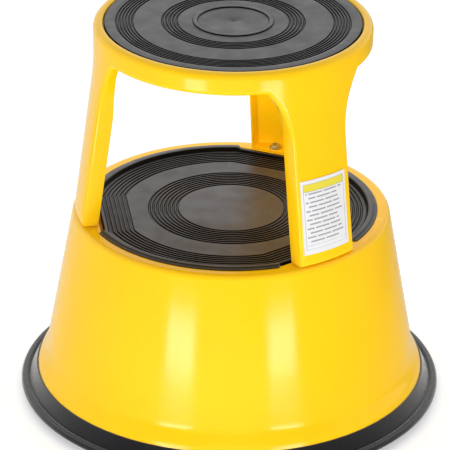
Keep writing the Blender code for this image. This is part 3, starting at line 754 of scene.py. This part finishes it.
def crown_profile():
    """From the top of the skirt, over the rolled lip, to the middle of the plate."""
    lean_in = LIP_WALL_R + LIP_IN_R
    points = []
    for k in range(1, 9):
        turn = math.pi / 2 * k / 8
        points.append((SKIRT_R - LIP_OUT_R + LIP_OUT_R * math.cos(turn),
                       LIP_Z - LIP_OUT_R + LIP_OUT_R * math.sin(turn)))
    for k in range(1, 7):
        turn = math.pi / 2 * (1 + k / 6)
        points.append((lean_in + LIP_IN_R * math.cos(turn),
                       LIP_Z - LIP_IN_R + LIP_IN_R * math.sin(turn)))
    return points + [(LIP_WALL_R, PLATE_Z), (0.07, PLATE_Z), (0.0, PLATE_Z)]


def heights_between(top, bottom, rows):
    return [top + (bottom - top) * k / rows for k in range(rows + 1)]


def build_upper_frame(holes):
    skirt_rows = 8
    leg_rows = 12
    lip_z = LIP_Z - LIP_OUT_R
    lean = skin_lean(DECK_Z)
    foot_z = DECK_Z + GAP + BEND_R * (1.0 + lean / math.hypot(1.0, lean))
    columns = half_columns(6, 16, 10)
    bm = bmesh.new()
    for leg in LEG_ANGLES:
        for side in (-1, 1):
            skirt = []
            crown = []
            for column in columns:
                heights = heights_between(lip_z, column["end"], skirt_rows)
                skirt.append([skin_point(leg, column, side, z) for z in heights])
                angle = leg + column_angle(column, side, lip_z)
                crown.append([skin_point(leg, column, side, lip_z)]
                             + [around(radius, angle, z) for radius, z in crown_profile()])
            sheet_between(bm, skirt)
            sheet_between(bm, crown)
            shaft = []
            for column in [c for c in columns if c["share"] == 0.0]:
                heights = heights_between(column["end"], foot_z, leg_rows)
                shaft.append([skin_point(leg, column, side, z) for z in heights])
            sheet_between(bm, shaft)
            sheet_between(bm, edge_ribs(leg, columns, side, leg_rows, foot_z, 6))
    bmesh.ops.remove_doubles(bm, verts=bm.verts[:], dist=1e-5)
    mesh = face_up(to_mesh(bm))
    mesh = drill(bake(mesh, [thicken(SHEET), soften(0.0004)]), holes)
    add_piece("upper_frame_enamel", mesh, "yellow_enamel", STOOL, "upper_frame")


# ---------------------------------------------------------------- treads
def build_top_tread():
    field = TOP_TREAD_Z - 0.0005
    floor = field - RIB_DEPTH
    crest = field + CENTRE_RING_RISE
    inner, outer = CENTRE_RING
    profile = [(0.0, field - 0.0008), (0.0018, field - 0.0007), (0.0034, field), (inner, field),
               (inner + 0.0006, crest - 0.0003), (inner + 0.0012, crest), (outer - 0.0014, crest),
               (outer - 0.0008, crest - 0.0003), (outer, field), (0.0560, field)]
    profile += ribs(*TOP_RIBS[0], field, floor)
    profile += [(0.0768, field), (0.1020, field)]
    profile += ribs(*TOP_RIBS[1], field, floor)
    under = PLATE_Z + GAP
    profile += rounded([(0.1238, field, 0.0), (0.1248, TOP_TREAD_Z, 0.0006),
                        (TOP_TREAD_R, TOP_TREAD_Z, 0.0012), (TOP_TREAD_R, under, 0.0)], 3)[1:]
    mesh = to_mesh(lathe(profile + [(0.0, under)], 240), 40)
    add_piece("top_tread_rubber", mesh, "tread_rubber", STOOL, "top_tread_mat")


def low_tread_line(away):
    """(radius, height) points from the top's middle, over the lip, to the underside's middle."""
    field = LOW_FIELD_Z
    floor = field - RIB_DEPTH
    share = swell(away)
    edge = notch_radius(LOW_TREAD_CHORD, LOW_TREAD_R, away)
    top = LOW_BORDER_Z + (LOW_LIP_Z + LOW_LIP_RISE - LOW_BORDER_Z) * share
    shelf = DECK_Z + GAP
    slope = 0.0010 + 0.0032 * share
    strip = 0.0042 + 0.0018 * share
    lap = 0.0006 + 0.0089 * share
    line = [(0.0, field), (0.0545, field)] + ribs(*LOW_RIBS[0], field, floor)
    line += [(0.0905, field), (0.1000, field)]
    start, chord, growth = RIB_CHORD
    for radius, z in [(0.1130, field)] + ribs(*LOW_RIBS[1], field, floor):
        beside_leg = chord + growth * (radius - start)
        line.append((min(radius, beside_leg / math.cos(min(away, math.pi / 4))), z))
    lip = edge - slope
    start = lip - strip
    line += [(start - 0.0012, field), (start + 0.0002, top - 0.0009),
             (start + 0.0014, top - 0.0002), (start + 0.0026, top), (lip - 0.0006, top - 0.0001),
             (lip, top - 0.0004), (lip + 0.0003, top - 0.0007), (edge - 0.0004, shelf + 0.0006),
             (edge, shelf)]
    return line + [(edge - lap, shelf), (edge - lap, RECESS_Z + GAP), (0.0, RECESS_Z + GAP)]


def build_low_tread():
    mesh = to_mesh(swept(low_tread_line, round_columns((16, 16, 26))), 40)
    add_piece("lower_tread_rubber", mesh, "tread_rubber", STOOL, "lower_tread_mat")


# ---------------------------------------------------------------- label
def label_rows():
    """(height, kind) of the label's strips from its top edge down."""
    rows = [(0.0036, "film"), (LABEL_RULE, "rule"), (0.0076, "header"), (LABEL_RULE, "rule"),
            (0.0014, "panel")]
    for _ in range(LABEL_BARS):
        rows += [(0.0016, "bar"), (0.0030, "panel")]
    rows += [(0.0003, "rule"), (0.0040, "panel"), (0.0003, "rule")]
    used = sum(height for height, _ in rows)
    return rows + [(LABEL_HIGH.z - LABEL_LOW.z - used, "film")]


def label_columns():
    """(width, kind) of the label's strips from its left edge."""
    width = LABEL_HIGH.x - LABEL_LOW.x
    border = [(LABEL_MARGIN, "film"), (LABEL_RULE, "rule")]
    inner = (width - 2 * LABEL_MARGIN - 2 * LABEL_RULE) / LABEL_CELLS
    return border + [(inner, "cell")] * LABEL_CELLS + border[::-1]


def label_cell(column, across, row, down):
    """Which of the label's materials a cell has: film, header, rule or bar."""
    if column == "film" or down == "film":
        return 0
    if column == "rule" or down == "rule":
        return 2
    if down == "header":
        return 1
    ends = (1 + (row * 5) % 4, LABEL_CELLS - (row * 7) % 5)
    word_gap = (across * 3 + row * 2) % 11 == 0
    if down == "bar" and ends[0] < across < ends[1] and not word_gap:
        return 3
    return 0


def build_label():
    """A thin film that follows the front leg, with a blank header and plain grey bars."""
    leg = LEG_ANGLES[0]
    rows = label_rows()
    columns = label_columns()
    heights = [LABEL_HIGH.z]
    for height, _ in rows:
        heights.append(heights[-1] - height)
    offsets = [LABEL_LOW.x]
    for width, _ in columns:
        offsets.append(offsets[-1] + width)
    bm = bmesh.new()
    lines = []
    for offset in offsets:
        line = []
        for z in heights:
            radius = skin_radius(z) + GAP + LABEL_T
            line.append(around(radius, leg + math.asin(offset / radius), z))
        lines.append(line)
    faces = sheet_between(bm, lines)
    for index, face in enumerate(faces):
        across, down = divmod(index, len(rows))
        face.material_index = label_cell(columns[across][1], across, down, rows[down][1])
    bmesh.ops.recalc_face_normals(bm, faces=bm.faces[:])
    mesh = to_mesh(bm)
    if mesh.polygons[0].normal.y > 0.0:
        mesh.flip_normals()
    for material in (MATERIALS["label_film"], film("label_header", (0.76, 0.64, 0.04)),
                     film("label_rule", (0.36, 0.37, 0.42)), film("label_bar", (0.33, 0.32, 0.34))):
        mesh.materials.append(material)
    add_piece("leg_label_film", bake(mesh, [thicken(LABEL_T)]), "label_film", STOOL, "leg_label")


# ---------------------------------------------------------------- bolts
def build_bolts():
    for leg, side, middle, low, high in bolt_places():
        seat = high - BOLT_HEAD_T
        head = rounded([(0.0, high - 0.0016, 0.0), (0.0020, high - 0.0016, 0.0002),
                        (0.0023, high, 0.0003), (0.0044, high - 0.0006, 0.002),
                        (BOLT_HEAD_R, high - 0.0030, 0.0008), (BOLT_HEAD_R, seat, 0.0002),
                        (BOLT_R, seat, 0.0), (BOLT_R, low, 0.0005), (0.0, low, 0.0)], 3)
        bm = lathe(head, 36)
        bmesh.ops.translate(bm, verts=bm.verts[:], vec=(middle.x, middle.y, 0.0))
        add_piece(f"{leg}_bolt_{side}_zinc", to_mesh(bm), "zinc_steel", STOOL, f"{leg}_bolt_{side}")
        build_nut(leg, side, middle)


def build_nut(leg, side, middle):
    """A hexagon nut with chamfered corners and a plain bore."""
    low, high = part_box(f"{leg}_nut_{side}")
    across = NUT_CORNER_R * math.cos(math.pi / 6)
    lines = []
    segments = 48
    for k in range(segments + 1):
        turn = 2 * math.pi * k / segments
        flat = (turn % (math.pi / 3)) - math.pi / 6
        outer = across / math.cos(flat)
        cap = min(outer, across * 1.01)
        drop = NUT_CHAMFER * (outer - cap) / (NUT_CORNER_R - across) + 0.0002
        ring = [(cap, high.z), (outer, high.z - drop), (outer, low.z + drop), (cap, low.z),
                (BOLT_HOLE_R, low.z), (BOLT_HOLE_R, high.z), (cap, high.z)]
        lines.append([Vector((middle.x + r * math.cos(turn), middle.y + r * math.sin(turn), z))
                      for r, z in ring])
    bm = bmesh.new()
    sheet_between(bm, lines)
    add_piece(f"{leg}_nut_{side}_zinc", to_mesh(bm), "zinc_steel", STOOL, f"{leg}_nut_{side}")


# ---------------------------------------------------------------- castors
def bracket_mesh():
    """An inverted pressed tray whose back follows the cone's inside wall."""
    rear_turn = math.asin(SHELF_HALF / cone_radius(SHELF_Z))
    wall = SHEET / math.cos(math.atan(CONE_SLOPE)) + GAP
    outline = []
    rear_steps = 16
    for k in range(rear_steps + 1):
        turn = rear_turn * (2 * k / rear_steps - 1)
        corners = []
        for z in (SHELF_Z, SHELF_Z - SHELF_DROP):
            radius = cone_radius(z) - wall
            corners.append(Vector((radius * math.cos(turn) - CASTOR_R, radius * math.sin(turn), z)))
        outline.append(corners)
    front_steps = 24
    for k in range(front_steps + 1):
        turn = math.radians(90 + 180 * k / front_steps)
        x, y = SHELF_FRONT * math.cos(turn), SHELF_HALF * math.sin(turn)
        outline.append([Vector((x, y, SHELF_Z)), Vector((x, y, SHELF_Z - SHELF_DROP))])
    outline.append(outline[0])
    lines = []
    for edge, foot in outline:
        middle = Vector((0.0, 0.0, SHELF_Z))
        inner = edge + (middle - edge).normalized() * SHELF_FOLD
        lower = edge + (foot - edge).normalized() * SHELF_FOLD
        line = [middle, middle.lerp(inner, 0.6)]
        for step in range(5):
            t = step / 4
            line.append(inner * (1 - t) ** 2 + edge * (2 * t * (1 - t)) + lower * t ** 2)
        lines.append(line + [foot])
    bm = bmesh.new()
    sheet_between(bm, lines)
    mesh = bake(face_up(to_mesh(bm)), [thicken(SHELF_T), soften(0.0004)])
    hole = bmesh.new()
    add_rod(hole, STEM_R + BUSH_WALL + 3 * GAP, 0.02, Matrix.Translation((0.0, 0.0, SHELF_Z)))
    return drill(mesh, to_mesh(hole))


def bush_mesh():
    bore = STEM_R + GAP
    barrel = STEM_R + BUSH_WALL + 2 * GAP
    flange = BUSH_FLANGE[0]
    seat = SHELF_Z + GAP
    low = SHELF_Z - SHELF_T
    return to_mesh(lathe(rounded([(bore, BUSH_TOP, 0.0004), (flange, BUSH_TOP, 0.0006),
                                  (flange, seat, 0.0002), (barrel, seat, 0.0002),
                                  (barrel, low, 0.0003), (bore, low, 0.0003)], 3), 40))


def stem_mesh():
    """Sliding stem: riveted end under the fork, spring collar, shaft with a clip groove."""
    neck_z = CROWN_Z - GAP
    groove_top = CLIP_Z + GROOVE_WIDTH
    corners = [
        (0.0, STEM_TOP_Z, 0.0), (STEM_R, STEM_TOP_Z, 0.0010), (STEM_R, groove_top, 0.0001),
        (GROOVE_R, groove_top, 0.0001), (GROOVE_R, CLIP_Z, 0.0001), (STEM_R, CLIP_Z, 0.0001),
        (STEM_R, COLLAR_Z + COLLAR_T, 0.0004), (COLLAR_R, COLLAR_Z + COLLAR_T, 0.0006),
        (COLLAR_R, COLLAR_Z, 0.0006), (STEM_R, COLLAR_Z, 0.0), (STEM_R, neck_z, 0.0),
        (RIVET_R, neck_z, 0.0002), (RIVET_R, neck_z - 0.0016, 0.0006),
        (0.0044, neck_z - 0.0024, 0.0006), (0.0, neck_z - 0.0024, 0.0)]
    return to_mesh(lathe(rounded(corners, 3), 40))


def ring_mesh(bore, rim, low, high):
    edge = 0.0002
    return to_mesh(lathe(rounded([(bore, high, edge), (rim, high, edge), (rim, low, edge),
                                  (bore, low, edge)], 2), 40))


def spring_mesh():
    """A coil with closed ends between the stem's collar and the underside of the shelf."""
    low = SPRING_LOW_Z + SPRING_WIRE_R
    high = SPRING_HIGH_Z - SPRING_WIRE_R
    steps = int(SPRING_TURNS * 36)
    sides = 10
    rings = []
    for k in range(steps + 1):
        turn = 2 * math.pi * SPRING_TURNS * k / steps
        middle = around(SPRING_R, turn, low + (high - low) * k / steps)
        out = around(1.0, turn)
        rings.append([middle + SPRING_WIRE_R * (out * math.cos(2 * math.pi * s / sides)
                                                + Vector((0, 0, math.sin(2 * math.pi * s / sides))))
                      for s in range(sides + 1)])
    bm = bmesh.new()
    sheet_between(bm, rings)
    bmesh.ops.remove_doubles(bm, verts=bm.verts[:], dist=1e-6)
    bmesh.ops.holes_fill(bm, edges=[e for e in bm.edges if e.is_boundary], sides=0)
    return to_mesh(bm, 60)


def fork_mesh():
    """A pressed fork: a side outline as wide as the fork, with the wheel's space taken out."""
    top = CROWN_Z + CROWN_T
    back, front = FORK_ENDS
    outline = [(back, top), (back, CROWN_Z - FORK_SKIRT)]
    for k in range(25):
        turn = math.radians(215 + 180 * k / 24)
        outline.append((TRAIL + FORK_BOSS_R * math.cos(turn),
                        WHEEL_R + FORK_BOSS_R * math.sin(turn)))
    outline += [(front, CROWN_Z - FORK_SKIRT), (front, top)]
    bm = bmesh.new()
    face = bm.faces.new([bm.verts.new((x, -FORK_HALF, z)) for x, z in outline])
    moved = bmesh.ops.extrude_face_region(bm, geom=[face])["geom"]
    bmesh.ops.translate(bm, verts=[v for v in moved if isinstance(v, bmesh.types.BMVert)],
                        vec=(0.0, 2 * FORK_HALF, 0.0))
    body = to_mesh(bm)
    room = bmesh.new()
    bmesh.ops.create_cube(room, size=1.0)
    bmesh.ops.scale(room, vec=(0.08, 2 * (FORK_HALF - FORK_T), 0.08), verts=room.verts[:])
    bmesh.ops.translate(room, vec=(0.0, 0.0, CROWN_Z - 0.04), verts=room.verts[:])
    body = bake(drill(body, to_mesh(room)), [soften(0.0007, 3, 60.0)])
    holes = bmesh.new()
    add_rod(holes, STEM_R + GAP, 0.02, Matrix.Translation((0.0, 0.0, CROWN_Z)))
    add_rod(holes, AXLE_R + GAP, 0.05,
            Matrix.Translation((TRAIL, 0.0, WHEEL_R)) @ Matrix.Rotation(math.pi / 2, 4, "X"))
    return drill(body, to_mesh(holes))


def wheel_meshes():
    """Axle, hub and tyre about the Y axis."""
    head = FORK_HALF + GAP
    half = WHEEL_HALF
    bore = AXLE_R + GAP
    inner = HUB_R + GAP
    head_r, head_t = AXLE_HEAD
    axle = [(0.0, head + head_t, 0.0), (head_r, head + head_t, 0.0006), (head_r, head, 0.0002),
            (AXLE_R, head, 0.0)]
    hub = [(bore, half, 0.0003), (0.0060, half, 0.0005), (0.0068, half - 0.0045, 0.0008),
           (0.0128, half - 0.0045, 0.0008), (0.0136, half - 0.003, 0.0004),
           (HUB_R, half - 0.003, 0.0004)]
    tyre = [(inner, half - 0.001, 0.0003), (WHEEL_R - 0.0026, half - 0.001, 0.0015),
            (WHEEL_R, half - 0.0042, 0.0020)]
    meshes = []
    for side, segments in ((axle, 32), (hub, 64), (tyre, 80)):
        other_side = [(radius, -along, rounding) for radius, along, rounding in side]
        meshes.append(to_mesh(lathe(rounded(other_side + side[::-1], 4), segments, "Y")))
    return meshes


def build_castors():
    washer_z = BUSH_TOP + GAP
    washer = ring_mesh(STEM_R + GAP, WASHER[0], washer_z, washer_z + WASHER[1])
    clip = ring_mesh(GROOVE_R + GAP, CLIP[0], CLIP_Z, CLIP_Z + CLIP[1])
    axle, hub, tyre = wheel_meshes()
    parts = [
        ("bracket", "enamel", bracket_mesh(), "yellow_enamel", STOOL),
        ("guide_bush", "nylon", bush_mesh(), "nylon", STOOL),
        ("spring", "coil", spring_mesh(), "zinc_steel", STOOL),
        ("stem", "zinc", stem_mesh(), "zinc_steel", "slide"),
        ("washer", "zinc", washer, "zinc_steel", "slide"),
        ("clip", "zinc", clip, "zinc_steel", "slide"),
        ("fork", "zinc", fork_mesh(), "zinc_steel", "swivel"),
    ]
    rolling = [
        ("axle", "zinc", axle, "zinc_steel", "swivel"),
        ("wheel_hub", "nylon", hub, "nylon", "wheel"),
        ("tyre", "rubber", tyre, "wheel_rubber", "wheel"),
    ]
    for number in CASTORS:
        place = Vector(JOINTS[f"castor_{number}_turn"]["pos_m"])
        turn = (Matrix.Translation((place.x, place.y, 0.0))
                @ Matrix.Rotation(math.atan2(place.y, place.x), 4, "Z"))
        to_wheel = Matrix.Translation((TRAIL, 0.0, WHEEL_R))
        for group, shift in ((parts, Matrix()), (rolling, to_wheel)):
            for node, look, mesh, slot, body in group:
                copy = mesh.copy()
                copy.materials.clear()
                copy.transform(turn @ shift)
                rides = STOOL if body == STOOL else f"castor_{number}_{body}"
                item = add_piece(f"castor_{number}_{node}_{look}", copy, slot, rides,
                                 f"castor_{number}_{node}")
                if node == "spring":
                    squash_spring(item)


def squash_spring(item):
    """Gives the coil its own copy of the mesh data."""
    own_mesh(item)


# ---------------------------------------------------------------- stage, light and camera
def floor_paper():
    """White paper, clear from below, and dimmer where it is mirrored on the camera's right."""
    material, tree, shader = start_material("pale_floor", FLOOR_WHITE, 0.6)
    shader.inputs["Emission Color"].default_value = (1.0, 1.0, 1.0, 1.0)
    aside = distance_along(tree, "Object", (-math.sin(CAMERA_TURN), math.cos(CAMERA_TURN), 0.0))
    dim = combine(tree, "MULTIPLY", remap(tree, aside, 0.10, 0.60, 0.3, 0.95),
                  ray_kind(tree, "Is Glossy Ray"))
    plug(mix_colour(tree, dim, FLOOR_WHITE, (0.02, 0.02, 0.02)), shader, "Base Color")
    plug(remap(tree, dim, 0.0, 1.0, FLOOR_GLOW, 0.0), shader, "Emission Strength")
    geometry = tree.nodes.new("ShaderNodeNewGeometry")
    plug(remap(tree, geometry.outputs["Backfacing"], 0.0, 1.0, 1.0, 0.0), shader, "Alpha")
    return material


def build_floor():
    bm = bmesh.new()
    bmesh.ops.create_circle(bm, cap_ends=True, segments=96, radius=FLOOR_R)
    mesh = face_up(to_mesh(bm))
    mesh.materials.append(floor_paper())
    floor = bpy.data.objects.new("floor", mesh)
    bpy.context.scene.collection.objects.link(floor)


def add_soft_box(name, place, target, width, height, power):
    light = bpy.data.lights.new(name, "AREA")
    light.shape = "RECTANGLE"
    light.size = width
    light.size_y = height
    light.energy = power
    item = bpy.data.objects.new(name, light)
    item.location = place
    item.rotation_euler = (Vector(target) - place).to_track_quat("-Z", "Y").to_euler()
    item.visible_camera = False
    bpy.context.scene.collection.objects.link(item)
    return item


def build_world():
    """A white studio: bright behind the stool, dimmer on the camera's side."""
    world = bpy.data.worlds.new("studio")
    bpy.context.scene.world = world
    world.use_nodes = True
    tree = world.node_tree
    background = tree.nodes["Background"]
    along = distance_along(tree, "Generated", around(1.0, BACKDROP_TURN))
    level = remap(tree, along, -0.6, 0.5, 0.40, 1.22)
    plug(combine(tree, "MAXIMUM", ray_kind(tree, "Is Camera Ray"), level), background, "Strength")
    background.inputs["Color"].default_value = (1.0, 1.0, 1.0, 1.0)


def build_lights():
    """Two low strips that draw the soft streaks, a fill in front and one between the legs."""
    distance, height = STRIP_PLACE
    for name, aside, power in STRIPS:
        place = around(distance, CAMERA_TURN + math.radians(aside), height)
        add_soft_box(name, place, (0.0, 0.0, height), 0.24, 0.11, power)
    low = around(FILL_PLACE[0], CAMERA_TURN, FILL_PLACE[1])
    near = around(INNER_FILL_PLACE[0], CAMERA_TURN, INNER_FILL_PLACE[1])
    far_leg = around(0.15, LEG_ANGLES[1], 0.29)
    for fill in (add_soft_box("fill", low, (0.0, 0.0, 0.3), 1.3, 0.4, 10.5),
                 add_soft_box("inner_fill", near, far_leg, 0.12, 0.08, 0.22)):
        fill.visible_glossy = False


def build_camera():
    place = CAMERA_TARGET + around(CAMERA_DISTANCE * math.cos(CAMERA_RISE), CAMERA_TURN,
                                   CAMERA_DISTANCE * math.sin(CAMERA_RISE))
    camera = bpy.data.objects.new("camera", bpy.data.cameras.new("camera"))
    camera.data.sensor_width = 36.0
    camera.data.lens = CAMERA_LENS
    camera.data.shift_x, camera.data.shift_y = CAMERA_SHIFT
    camera.matrix_world = (Matrix.Translation(place)
                           @ (CAMERA_TARGET - place).to_track_quat("-Z", "Y").to_matrix().to_4x4()
                           @ Matrix.Rotation(CAMERA_ROLL, 4, "Z"))
    bpy.context.scene.collection.objects.link(camera)
    bpy.context.scene.camera = camera


HOLES = bolt_holes()
build_base_shell(HOLES)
build_bumper_ring()
build_upper_frame(HOLES)
build_top_tread()
build_low_tread()
build_label()
build_bolts()
build_castors()
build_floor()
build_world()
build_lights()
build_camera()
bpy.context.scene.view_settings.view_transform = "Standard"
